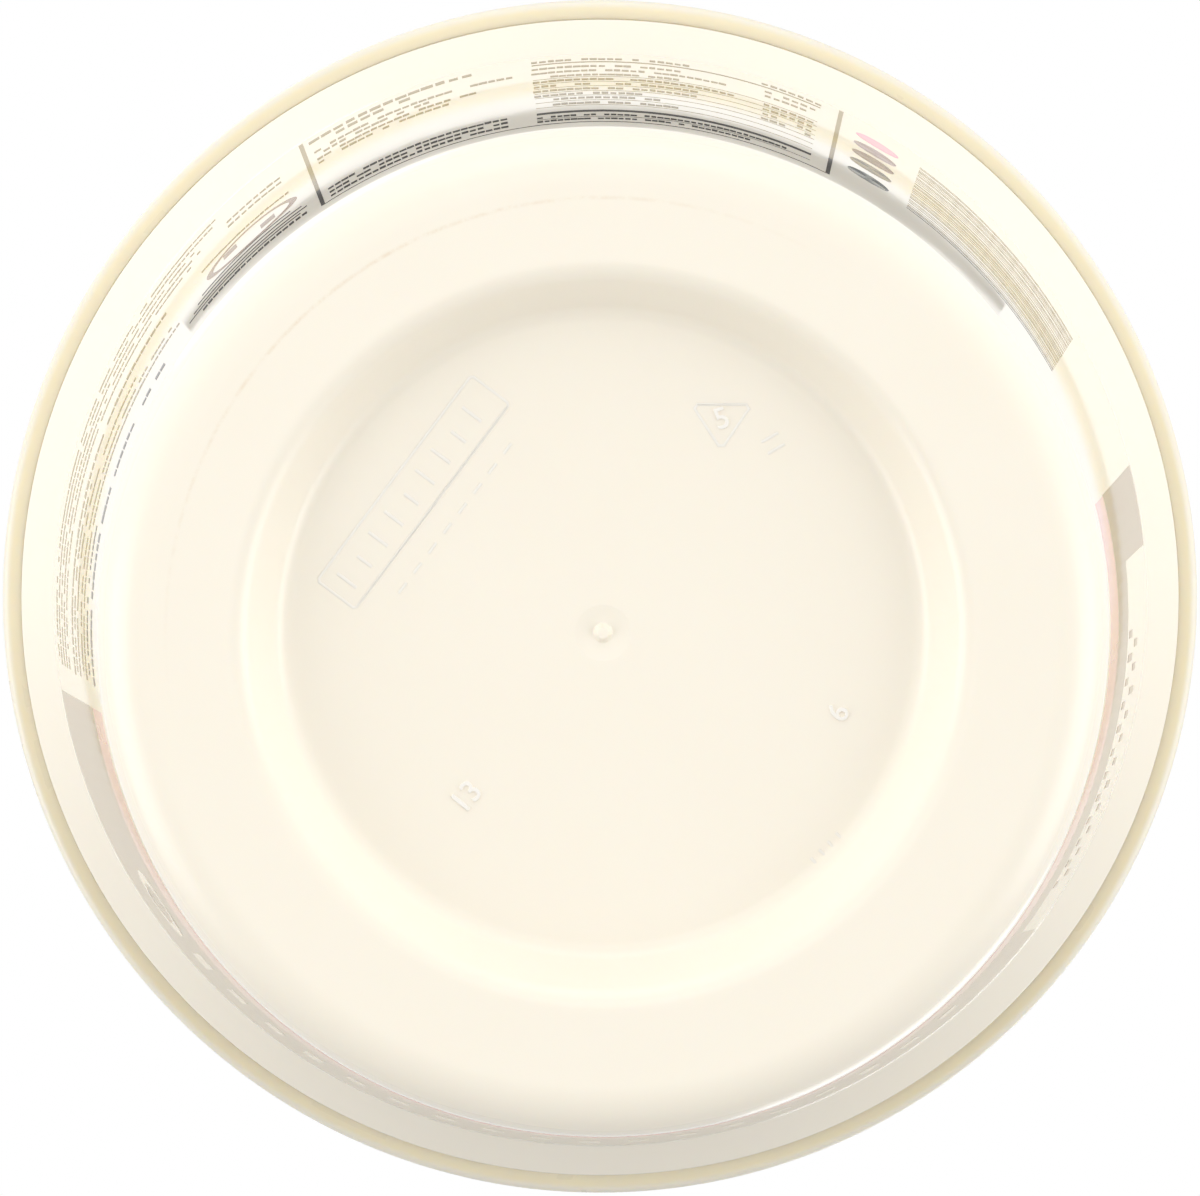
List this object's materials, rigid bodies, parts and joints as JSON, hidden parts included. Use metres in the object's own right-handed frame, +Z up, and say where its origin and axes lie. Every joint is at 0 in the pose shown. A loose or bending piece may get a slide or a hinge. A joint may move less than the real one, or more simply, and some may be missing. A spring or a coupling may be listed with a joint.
{
  "type": "soft cheese tub",
  "caption": "Round tapered tub of mascarpone with a pushed-up foot, a stepped shoulder and a press-fit lid.",
  "frame": {"origin": "centre of the foot ring, on the surface that the tub stands on", "axes": "+Z up along the tub's turning axis; -Y is the front of the printed wall"},
  "size_m": [0.1192, 0.1192, 0.0709],
  "materials": {
    "tub_plastic": "cream moulded plastic with a printed wall",
    "lid_plastic": "warm cream moulded plastic, satin gloss"
  },
  "bodies": {
    "root": {"tub": "tub_plastic", "lid": "lid_plastic"}
  },
  "joints": []
}
